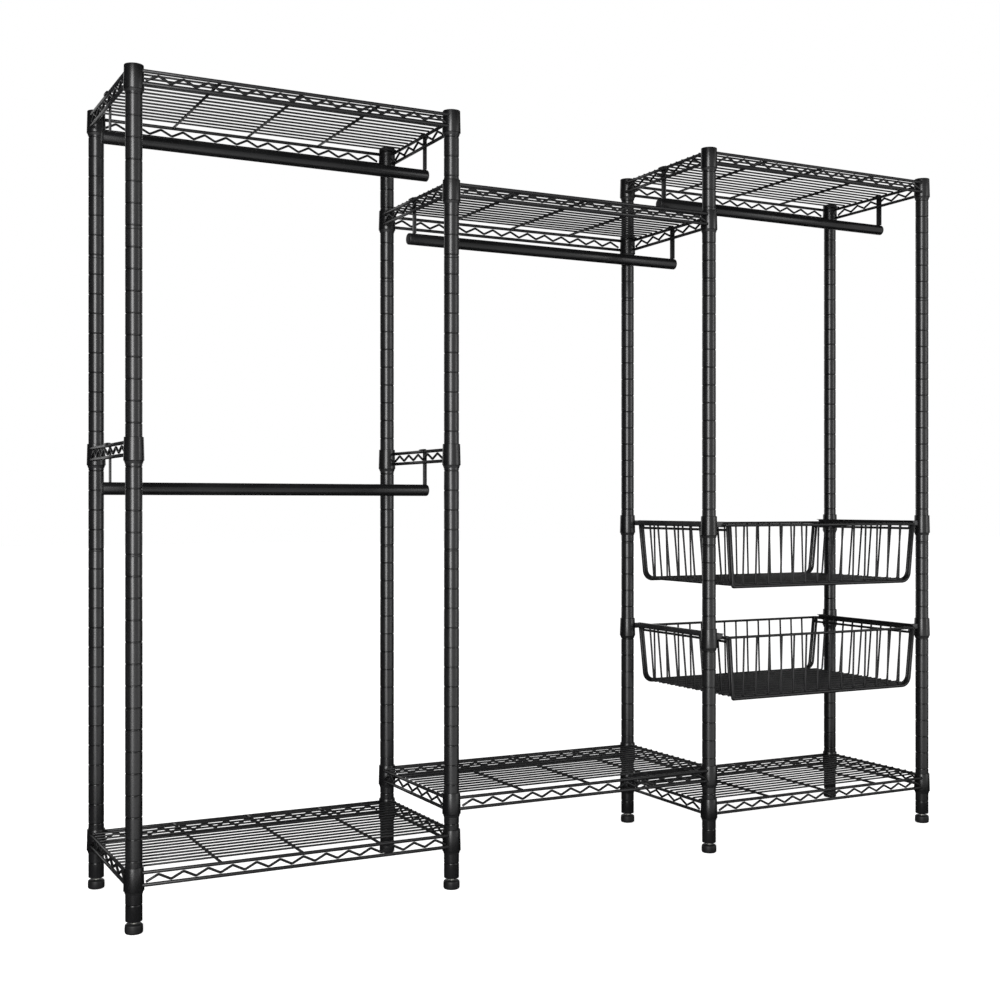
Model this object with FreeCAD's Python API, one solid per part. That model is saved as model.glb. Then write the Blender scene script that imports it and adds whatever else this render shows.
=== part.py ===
import FreeCAD, Part
import math
import os

# Three-bay wire clothes rack: eight round posts carry trussed wire shelves, hanging rods
# and two pull-out wire baskets. Millimetres, +Z up, +X along the row, the front faces -Y,
# and the origin is on the floor under the middle of the rack.

# Overall size
rack_height = 1950.0
bay_count = 3
bay_pitch = 790.0
post_depth_pitch = 416.0

# Posts
post_diameter = 38.0
post_wall = 1.2
post_sides = 16
post_joint_height = 846.0
joint_plug_length = 60.0
cap_flange = 2.0
cap_edge = 1.0
cap_radius = 22.0

# Levelling feet
pad_radius = 20.5
pad_height = 22.0
pad_edge = 4.0
foot_gap = 6.0
stud_flats = 9.0
stud_length = 48.0
insert_height = 14.0
slide_clearance = 0.15
press_clearance = 0.05

# Corner collars, each with its tapered sleeve
collar_clearance = 0.1
collar_top_radius = 22.0
collar_bottom_radius = 23.3
collar_height = 53.0
collar_above_rail = 12.0
sleeve_lip_height = 7.0
collar_sides = 8

# Trussed wire shelves, their sides set outward of the middles of the posts
truss_offset = 15.0
rail_diameter = 7.0
rail_spacing = 28.0
rail_sides = 6
lacing_wire = 4.6
lacing_pitch = 57.0
deck_wire = 4.0
deck_wire_count = 14
cross_rod = 6.0
cross_rod_count = 3

# Heights of the upper rails
outer_bottom_rail = 137.0
middle_bottom_rail = 229.0
middle_top_drop = 171.0
ledge_rail = 1103.0

# Hanging rods and their hooked straps
hanging_rod_diameter = 30.5
hanging_rod_wall = 1.2
hanging_rod_drop = 103.0
hanging_rod_overhang = 29.0
strap_width = 22.0
strap_thickness = 2.5
strap_lip = 8.0
strap_clearance = 0.6
rod_cap_length = 5.0
rod_cap_edge = 3.0
hanging_rod_sides = 16

# Pull-out baskets and their runners
basket_rim_heights = (593.0, 905.0)
basket_rim_wire = 7.5
basket_frame_wire = 8.0
basket_wire = 4.5
basket_depth = 174.5
basket_front = 227.0
basket_back = 200.0
basket_side_taper = 15.0
basket_front_taper = 6.0
basket_frame_taper = 4.0
basket_frame_gap = 0.6
basket_frame_bend = 28.0
basket_upright_pitch = 45.0
basket_second_wire_drop = 18.0
rim_sides = 6
weld_gap = 0.2
runner_inset = 41.9
runner_height = 16.0
runner_wall = 1.5
runner_side_clearance = 0.6
runner_lip_clearance = 0.5
runner_rest_clearance = 0.2
runner_overhang = 6.0
runner_collar_above_rim = 26.0

# Values worked out from the sizes above
post_radius = post_diameter / 2
post_bore = post_radius - post_wall
post_bottom = pad_height + foot_gap
post_top = rack_height - cap_flange
outer_top_rail = post_top - collar_above_rail
middle_top_rail = outer_top_rail - middle_top_drop
rail_radius = rail_diameter / 2
half_depth = post_depth_pitch / 2
collar_bore = post_radius + collar_clearance
row_names = {"front": -half_depth, "back": half_depth}


def vec(x, y, z):
    return FreeCAD.Vector(x, y, z)


def post_x(index):
    return (index - bay_count / 2) * bay_pitch


def closed_solid(faces):
    solid = Part.makeSolid(Part.makeShell(faces))
    if solid.Volume < 0:
        solid.reverse()
    return solid


def polygon_face(points):
    return Part.Face(Part.makePolygon(points + points[:1]))


def corner_radius(across_flats, sides):
    return across_flats / 2 / math.cos(math.pi / sides)


def section_ring(centre, side, up, corner, sides):
    # A regular section about centre with a flat square to up
    ring = []
    for step in range(sides):
        angle = math.pi / 2 + math.pi * (2 * step + 1) / sides
        ring.append(centre + side * (corner * math.cos(angle)) + up * (corner * math.sin(angle)))
    return ring


def straight_wire(start, end, across_flats, sides=4):
    # A wire between two points, with a flat on top and one underneath
    run = end - start
    along = FreeCAD.Vector(run).normalize()
    up = vec(0, 0, 1) if abs(along.z) < 0.5 else vec(1, 0, 0)
    side = along.cross(up).normalize()
    up = side.cross(along)
    corner = corner_radius(across_flats, sides)
    return polygon_face(section_ring(start, side, up, corner, sides)).extrude(run)


def bent_rings(points, normal, corner, sides):
    # The sections of a wire bent in one plane: every bend is mitred, so that faces stay flat
    rings = []
    for index, point in enumerate(points):
        before = point - points[index - 1] if index else points[1] - point
        after = points[index + 1] - point if index + 1 < len(points) else before
        before = FreeCAD.Vector(before).normalize()
        after = FreeCAD.Vector(after).normalize()
        tangent = (before + after).normalize()
        mitre = normal.cross(tangent).normalize() * (1 / tangent.dot(before))
        rings.append(section_ring(point, mitre, normal, corner, sides))
    return rings


def ring_faces(ring, following):
    faces = []
    for corner in range(len(ring)):
        after = (corner + 1) % len(ring)
        faces.append(polygon_face([ring[corner], ring[after], following[after], following[corner]]))
    return faces


def stacked_solid(rings, hollow=False):
    # A solid through a row of like sections, closed by its ends or, when hollow, by a bore
    pairs = list(zip(rings, rings[1:]))
    faces = []
    if hollow:
        pairs.append((rings[-1], rings[0]))
    else:
        faces = [polygon_face(rings[0]), polygon_face(rings[-1])]
    for ring, following in pairs:
        faces += ring_faces(ring, following)
    return closed_solid(faces)


def turned_piece(profile, sides, hollow=False, axis="z"):
    # A faceted turning: profile holds (radius to the flats, height) pairs in order, and
    # hollow joins the last pair to the first round a bore
    rings = []
    for radius, height in profile:
        corner = corner_radius(2 * radius, sides)
        ring = []
        for step in range(sides):
            angle = math.pi * (2 * step + 1) / sides
            across = corner * math.cos(angle)
            along = corner * math.sin(angle)
            ring.append(vec(across, along, height) if axis == "z" else vec(height, across, along))
        rings.append(ring)
    return stacked_solid(rings, hollow)


def moved(shape, x, y, z):
    placed = shape.copy()
    placed.translate(vec(x, y, z))
    return placed


def export(name, solids):
    shape = solids[0] if len(solids) == 1 else Part.makeCompound(solids)
    shape.exportStep(os.path.join("parts", name + ".step"))


def tube(length, outer_radius, wall, sides, axis="z"):
    bore = outer_radius - wall
    return turned_piece([(outer_radius, 0), (outer_radius, length), (bore, length), (bore, 0)],
                        sides, hollow=True, axis=axis)


# Posts: two tubes screwed together over a plug, closed by a cap and an insert
def make_posts():
    plugs = []
    caps = []
    inserts = []
    bore_flats = (post_bore - press_clearance) * math.cos(math.pi / 6) * 2
    plug = straight_wire(vec(0, 0, -joint_plug_length / 2), vec(0, 0, joint_plug_length / 2), bore_flats, 6)
    cap = turned_piece([(cap_radius, 0), (cap_radius - cap_edge, cap_flange)], collar_sides)
    insert_bore = stud_flats / 2 + slide_clearance
    insert = turned_piece([(bore_flats / 2, 0), (bore_flats / 2, insert_height),
                           (insert_bore, insert_height), (insert_bore, 0)], 6, hollow=True)
    for row, y in row_names.items():
        for index in range(bay_count + 1):
            x = post_x(index)
            name = f"{row}_{index + 1}"
            lower = tube(post_joint_height - post_bottom, post_radius, post_wall, post_sides)
            upper = tube(post_top - post_joint_height, post_radius, post_wall, post_sides)
            export("post_lower_" + name, [moved(lower, x, y, post_bottom)])
            export("post_upper_" + name, [moved(upper, x, y, post_joint_height)])
            plugs.append(moved(plug, x, y, post_joint_height))
            caps.append(moved(cap, x, y, post_top))
            inserts.append(moved(insert, x, y, post_bottom))
    export("post_joint_plugs", plugs)
    export("post_caps", caps)
    export("foot_inserts", inserts)


# Levelling feet: a pad on a stud that screws into the post's insert
def make_feet():
    pad = turned_piece([(pad_radius - pad_edge, 0), (pad_radius, pad_edge),
                        (pad_radius, pad_height - pad_edge), (pad_radius - pad_edge, pad_height)],
                       collar_sides)
    stud = turned_piece([(stud_flats / 2, pad_height), (stud_flats / 2, pad_height + stud_length)], 6)
    for row, y in row_names.items():
        for index in range(bay_count + 1):
            name = f"{row}_{index + 1}"
            export("foot_pad_" + name, [moved(pad, post_x(index), y, 0)])
            export("foot_stud_" + name, [moved(stud, post_x(index), y, 0)])


def collar(x, y, top):
    # A tapered collar with the cone of its sleeve showing underneath
    bottom = top - collar_height
    profile = [(collar_bore, top), (collar_top_radius, top), (collar_bottom_radius, bottom),
               (collar_bore, bottom - sleeve_lip_height)]
    return moved(turned_piece(profile, collar_sides, hollow=True), x, y, 0)


def collar_core(x, y, top):
    # The room that a collar takes up with its post, which cuts what is welded to it
    bottom = top - collar_height
    core = turned_piece([(collar_top_radius, top), (collar_bottom_radius, bottom)], collar_sides)
    return moved(core, x, y, 0)


def lacing(start, end):
    # The zigzag wire between the two rails of one side, given as the upper rail's run
    run = end - start
    count = max(1, round(run.Length / lacing_pitch)) * 2
    rise = rail_spacing - rail_diameter
    slope = math.atan2(rise, run.Length / count)
    # A three-sided section as heavy as the round wire
    corner = lacing_wire / 2 * math.sqrt(2 * math.pi / (3 * math.sin(2 * math.pi / 3)))
    tip = corner * math.cos(math.pi / 6) / math.cos(slope)
    normal = vec(0, 0, 1).cross(run).normalize()
    points = []
    for step in range(count + 1):
        height = -rail_radius - tip if step % 2 else rail_radius + tip - rail_spacing
        points.append(start + run * (step / count) + vec(0, 0, height))
    return stacked_solid(bent_rings(points, normal, corner, 3))


def truss(start, end, cores):
    # Two rails and their lacing between two posts, set out to the right of the way along
    along = FreeCAD.Vector(end - start).normalize()
    outward = along.cross(vec(0, 0, 1)) * truss_offset
    start = start + outward
    end = end + outward
    pieces = []
    for drop in (0, rail_spacing):
        rail = straight_wire(start - vec(0, 0, drop), end - vec(0, 0, drop), rail_diameter, rail_sides)
        for core in cores:
            rail = rail.cut(core)
        pieces.append(rail.Solids[0])
    inset = along * collar_bottom_radius
    pieces.append(lacing(start + inset, end - inset))
    return pieces


def make_shelf(name, bay, rail_height):
    left = post_x(bay)
    right = post_x(bay + 1)
    corners = [(left, -half_depth), (right, -half_depth), (right, half_depth), (left, half_depth)]
    collar_top = rail_height + collar_above_rail
    pieces = [collar(x, y, collar_top) for x, y in corners]
    cores = [collar_core(x, y, collar_top) for x, y in corners]
    for index in range(4):
        after = (index + 1) % 4
        pieces += truss(vec(*corners[index], rail_height), vec(*corners[after], rail_height),
                        [cores[index], cores[after]])
    # Cross rods butt the long rails, and the deck wires lie on them and on the short rails
    deck_bottom = rail_height + rail_radius
    reach = half_depth + truss_offset - rail_radius
    for index in range(cross_rod_count):
        x = left + bay_pitch * (index + 1) / (cross_rod_count + 1)
        height = deck_bottom - cross_rod / 2
        pieces.append(straight_wire(vec(x, -reach, height), vec(x, reach, height), cross_rod))
    deck_overhang = truss_offset + rail_radius
    deck_pitch = post_depth_pitch / (deck_wire_count + 1)
    for index in range(deck_wire_count):
        y = -half_depth + deck_pitch * (index + 1)
        height = deck_bottom + deck_wire / 2
        start = vec(left - deck_overhang, y, height)
        end = vec(right + deck_overhang, y, height)
        pieces.append(straight_wire(start, end, deck_wire))
    export(name, pieces)


def make_ledge(name, post, hand):
    # hand is +1 where the truss stands out towards +X
    x = post_x(post)
    collar_top = ledge_rail + collar_above_rail
    ends = [(x, -hand * half_depth), (x, hand * half_depth)]
    cores = [collar_core(*end, collar_top) for end in ends]
    pieces = [collar(*end, collar_top) for end in ends]
    pieces += truss(vec(*ends[0], ledge_rail), vec(*ends[1], ledge_rail), cores)
    export(name, pieces)


def strap(bay, rail_height, hand):
    # A flat strap that hooks over the short side's upper rail and is welded on top of the rod
    top = rail_height + rail_radius + strap_thickness
    rod_top = rail_height - hanging_rod_drop + hanging_rod_diameter / 2
    inner = truss_offset + rail_radius + strap_clearance
    outer = inner + strap_thickness
    lip_near = truss_offset - rail_radius - strap_clearance
    lip_far = lip_near - strap_thickness
    outline = [(outer, rod_top), (outer, top), (lip_far, top), (lip_far, top - strap_lip),
               (lip_near, top - strap_lip), (lip_near, top - strap_thickness),
               (inner, top - strap_thickness), (inner, rod_top)]
    side_x = post_x(bay + 1) if hand > 0 else post_x(bay)
    points = [vec(side_x + hand * x, -strap_width / 2, z) for x, z in outline]
    return polygon_face(points).extrude(vec(0, strap_width, 0))


def make_hanging_rods():
    straps = []
    caps = []
    places = {"hanging_rod_left_upper": (0, outer_top_rail), "hanging_rod_left_lower": (0, ledge_rail),
              "hanging_rod_middle": (1, middle_top_rail), "hanging_rod_right": (2, outer_top_rail)}
    rod_radius = hanging_rod_diameter / 2
    rod_length = bay_pitch + 2 * (hanging_rod_overhang - rod_cap_length)
    cap = turned_piece([(rod_radius, 0), (rod_radius - rod_cap_edge, rod_cap_length)],
                       hanging_rod_sides, axis="x")
    for name, (bay, rail_height) in places.items():
        middle = (post_x(bay) + post_x(bay + 1)) / 2
        height = rail_height - hanging_rod_drop
        rod = tube(rod_length, rod_radius, hanging_rod_wall, hanging_rod_sides, axis="x")
        export(name, [moved(rod, middle - rod_length / 2, 0, height)])
        right_cap = moved(cap, rod_length / 2, 0, 0)
        left_cap = right_cap.mirror(vec(0, 0, 0), vec(1, 0, 0))
        caps += [moved(right_cap, middle, 0, height), moved(left_cap, middle, 0, height)]
        straps += [strap(bay, rail_height, -1), strap(bay, rail_height, 1)]
    export("hanging_rod_straps", straps)
    export("hanging_rod_caps", caps)


def runner_channel_width():
    return runner_wall + runner_side_clearance + basket_rim_wire - runner_lip_clearance


def basket_half_width():
    # From the middle of the bay to the middle of the basket's side rim
    return bay_pitch / 2 - runner_inset - runner_wall / 2 - runner_side_clearance - basket_rim_wire / 2


def make_runner(name, rim_height, post, hand):
    # hand is +1 where the channel opens towards +X
    x = post_x(post)
    web = x + hand * (runner_inset - runner_wall / 2)
    low = rim_height - basket_rim_wire / 2 - runner_rest_clearance - runner_wall
    high = low + runner_height
    width = runner_channel_width()
    length = post_depth_pitch + 2 * runner_overhang
    outline = [(0, low), (width, low), (width, low + runner_wall), (runner_wall, low + runner_wall),
               (runner_wall, high - runner_wall), (width, high - runner_wall), (width, high), (0, high)]
    points = [vec(web + hand * across, -length / 2, z) for across, z in outline]
    pieces = [polygon_face(points).extrude(vec(0, length, 0))]
    collar_top = rim_height + runner_collar_above_rim
    for y in row_names.values():
        near = min(x, web)
        arm = Part.makeBox(abs(web - x), 2 * runner_overhang, runner_height,
                           vec(near, y - runner_overhang, low))
        pieces.append(arm.cut(collar_core(x, y, collar_top)).Solids[0])
        pieces.append(collar(x, y, collar_top))
    export(name, pieces)


def eased(path, bend_radius):
    # The path with a short run across each of its bends, as long as the round bend needs
    cut = bend_radius * (2 - math.sqrt(2))
    points = [path[0]]
    for before, bend, after in zip(path, path[1:], path[2:]):
        for neighbour in (before, after):
            points.append(bend + FreeCAD.Vector(neighbour - bend).normalize() * cut)
    return points + [path[-1]]


def bent_wires(path, normal, across_flats):
    # One wire of the basket bent down, across and up again, as its straight runs
    rings = bent_rings(path, normal, corner_radius(across_flats, 4), 4)
    return [stacked_solid(list(pair)) for pair in zip(rings, rings[1:])]


def make_basket(name, bay, rim_height):
    middle = (post_x(bay) + post_x(bay + 1)) / 2
    half_width = basket_half_width()
    rim_radius = basket_rim_wire / 2
    wire_radius = basket_wire / 2
    floor = rim_height - basket_depth
    pieces = []
    # Rim: the front and back wires run the full width, and the side wires butt them
    for y in (-basket_front, basket_back):
        start = vec(middle - half_width - rim_radius, y, rim_height)
        end = vec(middle + half_width + rim_radius, y, rim_height)
        pieces.append(straight_wire(start, end, basket_rim_wire, rim_sides))
    for x in (middle - half_width, middle + half_width):
        start = vec(x, rim_radius - basket_front, rim_height)
        end = vec(x, basket_back - rim_radius, rim_height)
        pieces.append(straight_wire(start, end, basket_rim_wire, rim_sides))
    # Frames under the front and back of the rim, outside the wires
    rim_bottom = rim_height - rim_radius
    frame_radius = basket_frame_wire / 2
    frame_x = half_width - rim_radius - frame_radius
    frame_low_x = frame_x - basket_frame_taper
    frame_inset = basket_front_taper - wire_radius - frame_radius - basket_frame_gap
    for y in (frame_inset - basket_front, basket_back - frame_inset):
        path = [vec(middle - frame_x, y, rim_bottom), vec(middle - frame_low_x, y, floor),
                vec(middle + frame_low_x, y, floor), vec(middle + frame_x, y, rim_bottom)]
        pieces += bent_wires(eased(path, basket_frame_bend), vec(0, 1, 0), basket_frame_wire)
    # Wires bent down the front, under the floor and up the back
    floor_half_width = half_width - basket_side_taper
    across_count = round(2 * floor_half_width / basket_upright_pitch)
    across_pitch = 2 * (floor_half_width - basket_wire) / across_count
    for index in range(across_count + 1):
        x = middle - floor_half_width + basket_wire + across_pitch * index
        path = [vec(x, -basket_front, rim_bottom), vec(x, -basket_front + basket_front_taper, floor),
                vec(x, basket_back - basket_front_taper, floor), vec(x, basket_back, rim_bottom)]
        pieces += bent_wires(path, vec(1, 0, 0), basket_wire)
    # Wires bent down one side, over those floor wires and up the other side
    side_x = half_width - rim_radius - wire_radius
    low_x = side_x - basket_side_taper
    long_floor = basket_front + basket_back - 2 * basket_front_taper - 2 * basket_wire
    side_count = round(long_floor / basket_upright_pitch)
    side_pitch = (long_floor - basket_wire) / side_count
    for index in range(side_count + 1):
        y = -basket_front + basket_front_taper + basket_wire * 1.5 + side_pitch * index
        path = [vec(middle - side_x, y, rim_height), vec(middle - low_x, y, floor + basket_wire),
                vec(middle + low_x, y, floor + basket_wire), vec(middle + side_x, y, rim_height)]
        pieces += bent_wires(path, vec(0, 1, 0), basket_wire)
        if index < side_count:
            between = y + side_pitch / 2
            start = vec(middle - low_x + wire_radius, between, floor + basket_wire)
            end = vec(middle + low_x - wire_radius, between, floor + basket_wire)
            pieces.append(straight_wire(start, end, basket_wire))
    # A second wire along either side, inside the uprights a little under the rim
    height = rim_height - basket_second_wire_drop
    side_lean = basket_side_taper * basket_second_wire_drop / (basket_depth - basket_wire)
    front_lean = basket_front_taper * basket_second_wire_drop / basket_depth
    ring_x = side_x - side_lean - basket_wire - weld_gap
    ring_front = front_lean + basket_wire + weld_gap - basket_front
    ring_back = basket_back - front_lean - basket_wire - weld_gap
    for x in (middle - ring_x, middle + ring_x):
        pieces.append(straight_wire(vec(x, ring_front, height), vec(x, ring_back, height), basket_wire))
    export(name, pieces)


def main():
    os.makedirs("parts", exist_ok=True)
    make_posts()
    make_feet()
    for bay, side in ((0, "left"), (1, "middle"), (2, "right")):
        inner = side == "middle"
        make_shelf(f"shelf_{side}_top", bay, middle_top_rail if inner else outer_top_rail)
        make_shelf(f"shelf_{side}_bottom", bay, middle_bottom_rail if inner else outer_bottom_rail)
    make_ledge("ledge_left_end", 0, -1)
    make_ledge("ledge_left_inner", 1, 1)
    make_hanging_rods()
    for level, rim_height in zip(("lower", "upper"), basket_rim_heights):
        make_runner(f"runner_{level}_inner", rim_height, 2, 1)
        make_runner(f"runner_{level}_end", rim_height, 3, -1)
        make_basket(f"basket_{level}", 2, rim_height)


main()
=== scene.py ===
import bpy
import math
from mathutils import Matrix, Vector


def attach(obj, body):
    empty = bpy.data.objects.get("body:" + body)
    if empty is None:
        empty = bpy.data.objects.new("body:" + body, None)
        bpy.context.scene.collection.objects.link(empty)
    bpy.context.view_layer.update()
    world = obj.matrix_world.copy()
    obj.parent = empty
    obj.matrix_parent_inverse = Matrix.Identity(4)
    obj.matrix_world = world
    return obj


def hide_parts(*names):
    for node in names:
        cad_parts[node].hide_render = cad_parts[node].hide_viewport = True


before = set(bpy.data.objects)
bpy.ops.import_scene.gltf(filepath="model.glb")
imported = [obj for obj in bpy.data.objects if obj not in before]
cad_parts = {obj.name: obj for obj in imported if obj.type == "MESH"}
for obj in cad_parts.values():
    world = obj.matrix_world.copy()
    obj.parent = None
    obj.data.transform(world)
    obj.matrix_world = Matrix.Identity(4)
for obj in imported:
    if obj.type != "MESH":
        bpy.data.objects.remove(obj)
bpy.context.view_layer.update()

# Three-bay wire clothes rack. Shapes are written in millimetres and made in metres.
# The wires are drawn a little thicker than those of the solids.

# Overall size
HEIGHT = 1950.0
BAY_COUNT = 3
BAY = 790.0
DEPTH = 416.0
POST_X = [BAY * (index - BAY_COUNT / 2) for index in range(BAY_COUNT + 1)]
ROW_Y = {"front": -DEPTH / 2, "back": DEPTH / 2}

# Posts
POST_R = 19.0
POST_WALL = 1.2
POST_EDGE_IN = 0.8
POST_EDGE_TURN = 0.25
POST_EDGE_HEIGHT = 1.0
POST_JOINT = 846.0
UPPER_SEAM = 1580.0
SEAM_DEPTH = 0.8
SEAM_HALF = 0.9
GROOVE_FIRST = 64.85
GROOVE_PITCH = 49.15
GROOVE_DEPTH = 1.05
GROOVE_HALF = 2.0
GROOVE_MARGIN = 4.0
GROOVE_SIDE_DEPTH_SHARE = 0.7
GROOVE_SIDE_WIDTH_SHARE = 0.6

# Caps, joint plugs and inserts of the posts
CAP_R = 22.0
CAP_FLANGE = 2.0
CAP_EDGE = 0.3
CAP_ROUND = 1.4
PLUG_HALF = 30.0
PLUG_PITCH = 1.5
PLUG_ROOT_DEPTH = 1.0
SCREW_CLEARANCE = 0.1
INSERT_HEIGHT = 14.0

# Levelling feet
PAD_FOOT_R = 20.3
PAD_BELLY_R = 20.6
PAD_TOP_R = 20.1
PAD_HEIGHT = 22.0
PAD_GAP = 6.0
PAD_FOOT_ROUND = 4.6
PAD_BELLY_ROUND = 20.0
PAD_TOP_ROUND = 5.0
SEAT_R = 6.0
SEAT_FLARE = 0.2
SEAT_DEPTH = 1.0
SEAT_EDGE = 0.3
FLANGE_R = 7.2
FLANGE_TOP = 22.6
FLANGE_EDGE = 0.4
SHANK_R = 4.1
SHANK_TOP = 24.0
STUD_CREST_R = 4.6
STUD_ROOT_R = 3.85
STUD_PITCH = 1.25
STUD_FIRST = 24.4
STUD_LAST = 69.0
STUD_TOP = 70.0
STUD_TIP_R = 3.1
STUD_TIP_EDGE = 0.6

# Collars and their sleeves
COLLAR_TOP_R = 22.0
COLLAR_LOW_R = 23.3
COLLAR_HEIGHT = 53.0
COLLAR_RISE = 12.0
COLLAR_WALL = 1.6
COLLAR_LIP = 0.6
COLLAR_ROUNDS = [0.3, 1.3, 1.0, 0.4, 0.3]
COLLAR_CLEARANCE = 0.1
SLEEVE_BORE = POST_R + 0.2
SLEEVE_TOP_R = POST_R + 1.0
SLEEVE_LOW_R = POST_R + 1.3
SLEEVE_FOOT_R = POST_R + 0.8
SLEEVE_INSET = 0.5
SLEEVE_NECK = 0.2
SLEEVE_DROP = 7.0
SLEEVE_LIP_R = COLLAR_LOW_R - 1.7
SLEEVE_LIP_TOP = 0.8
SLEEVE_LIP_LOW = 2.0
SLEEVE_LIP_TAPER = 0.4
SLEEVE_SLOT_ANGLE = 4.0

# Trussed wire shelves, their sides set outward of the middles of the posts
OFFSET = 15.0
RAIL_R = 4.3
RAIL_GAP = 28.0
RAIL_SINK = 1.5
LACING_R = 3.1
LACING_PITCH = 57.0
LACING_BEND = 7.0
WELD_SINK = 0.5
DECK_R = 2.5
DECK_COUNT = 14
DECK_RISE = 0.6
CROSS_R = 3.4
CROSS_COUNT = 3
CROSS_SINK = 1.0

# Heights of the upper rails
POST_TOP = HEIGHT - CAP_FLANGE
OUTER_TOP = POST_TOP - COLLAR_RISE
OUTER_BOTTOM = 137.0
MIDDLE_TOP_DROP = 171.0
MIDDLE_TOP = OUTER_TOP - MIDDLE_TOP_DROP
MIDDLE_BOTTOM = 229.0
LEDGE = 1103.0

# Hanging rods with their end caps and hooked straps
ROD_R = 15.25
ROD_WALL = 1.2
ROD_EDGE = 0.3
ROD_DROP = 102.0
ROD_OVERHANG = 29.0
ROD_CAP = 5.0
ROD_CAP_PLUG = 8.0
ROD_CAP_CLEARANCE = 0.1
ROD_CAP_NECK = 0.2
ROD_CAP_SIDE = 1.0
ROD_CAP_EDGE_IN = 1.0
ROD_CAP_EDGE = 3.4
ROD_CAP_CROWN_IN = 4.5
ROD_CAP_CROWN = 4.8
ROD_CAP_ROUNDS = [0, 0.2, 0.3, 1.5, 2.0, 2.5, 0]
STRAP_THICK = 2.5
STRAP_WIDE = 22.0
STRAP_EDGE = 0.8
STRAP_BEND = 3.2
STRAP_CLEARANCE = 0.35
STRAP_LIP = 6.8
STRAP_SINK = 0.3

# Baskets
RIM_HEIGHTS = {"lower": 593.0, "upper": 905.0}
RIM_R = 3.75
RIM_CORNER = 8.0
BASKET_X = (POST_X[2] + POST_X[3]) / 2
BASKET_HALF = 348.0
BASKET_DEPTH = 170.0
BASKET_FRONT = -227.0
BASKET_BACK = 222.0
FRAME_R = 5.2
FRAME_LEAN = 18.0
FRAME_BEND = 28.0
FRAME_OUT = 1.0
FRAME_SINK = 0.6
FRAME_DROP = 0.4
FRONT_LEFT_LEAN = 11.0
FRONT_LEFT_BEND = 3.0
SECOND_FRAME_R = 4.0
SECOND_FRAME_FRONT = BASKET_FRONT + 9.5
SECOND_FRAME_BACK = BASKET_BACK - 13.0
SECOND_FRAME_LEFT_BEND = 14.0
WIRE_R = 2.9
WIRE_BEND = 6.0
CROSSING_RISE = 4.3
END_TAPER = 6.0
SIDE_TAPER = 15.0
SIDE_PITCH = 43.0
FLOOR_WIRE_INSET = 4.0
LONG_WIRE_SPAN = 666.0
LONG_WIRE_GAPS = 15
SECOND_R = 3.6
SECOND_DROP = 13.0
SECOND_INSET = 8.0
SECOND_TURN = 22.0
SECOND_BEND = 5.9

# Runners of the baskets
RUNNER_WEB = 41.15
RUNNER_WALL = 1.5
RUNNER_WIDTH = 9.1
RUNNER_HEIGHT = 16.0
RUNNER_REST = 0.2
RUNNER_OVERHANG = 6.0
RUNNER_BACK_ROUND = 2.4
RUNNER_LIP_ROUND = 0.6
RUNNER_INNER_ROUND = 0.9
ARM_START = 21.0
ARM_SINK = 0.6
ARM_HALF = 6.0
ARM_INSET = 0.4
ARM_ROUND = 1.6
RUNNER_COLLAR_RISE = 26.0

# Values worked out from the sizes above
POST_BORE = POST_R - POST_WALL
POST_LOW = PAD_HEIGHT + PAD_GAP
SEAT_FLOOR = PAD_HEIGHT - SEAT_DEPTH

# Fineness of the shapes. A turning that closes on its axis starts just beside it.
ROUND_SIDES = 56
SLEEVE_SIDES = 48
ROD_CAP_SIDES = 48
INSERT_SIDES = 40
PLUG_SIDES = 36
STUD_SIDES = 32
RIM_SIDES = 16
RAIL_SIDES = 14
DECK_SIDES = 12
SECOND_SIDES = 12
LACING_SIDES = 10
WIRE_SIDES = 10
AXIS_R = 0.01
WIRE_END_SHARE = 0.35
CORNER_REACH_SHARE = 0.49
STRAIGHT_WITHIN = 0.01
MITRE_LIMIT = 0.5
PER_METRE = 1000.0


class Shape:
    """Points and faces gathered in millimetres."""

    def __init__(self):
        self.points = []
        self.faces = []

    def grid(self, rings, around=True, along=False, capped=False):
        """Quads over a row of like rings, with flat caps on both ends where asked for."""
        first = len(self.points)
        n = len(rings[0])
        for ring in rings:
            self.points += [Vector(p) for p in ring]
        count = len(rings)
        for i in range(count if along else count - 1):
            here = first + i * n
            there = first + (i + 1) % count * n
            for k in range(n if around else n - 1):
                m = (k + 1) % n
                self.faces.append([here + k, here + m, there + m, there + k])
        if capped:
            self.faces.append([first + k for k in reversed(range(n))])
            self.faces.append([first + (count - 1) * n + k for k in range(n)])


def corner_arc(before, point, after, radius, steps):
    """The points of an arc that rounds one corner of a path."""
    a = (before - point).normalized()
    b = (after - point).normalized()
    angle = a.angle(b)
    if angle > math.pi - STRAIGHT_WITHIN:
        return [point]
    longest = CORNER_REACH_SHARE * min((before - point).length, (after - point).length)
    reach = min(radius / math.tan(angle / 2), longest)
    radius = reach * math.tan(angle / 2)
    centre = point + (a + b).normalized() * (radius / math.sin(angle / 2))
    start = point + a * reach - centre
    end = point + b * reach - centre
    turn = start.angle(end)
    out = []
    for s in range(steps + 1):
        t = s / steps
        from_start = math.sin((1 - t) * turn) / math.sin(turn)
        from_end = math.sin(t * turn) / math.sin(turn)
        out.append(centre + start * from_start + end * from_end)
    return out


def rounded(path, radius, steps, closed=False):
    """A path with its corners rounded. radius is one value or one per corner."""
    path = [Vector(p) for p in path]
    radii = radius if isinstance(radius, list) else [radius] * len(path)
    out = []
    for i, point in enumerate(path):
        inside = closed or 0 < i < len(path) - 1
        if inside and radii[i] > 0:
            out += corner_arc(path[i - 1], point, path[(i + 1) % len(path)], radii[i], steps)
        else:
            out.append(point)
    return out


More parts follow.
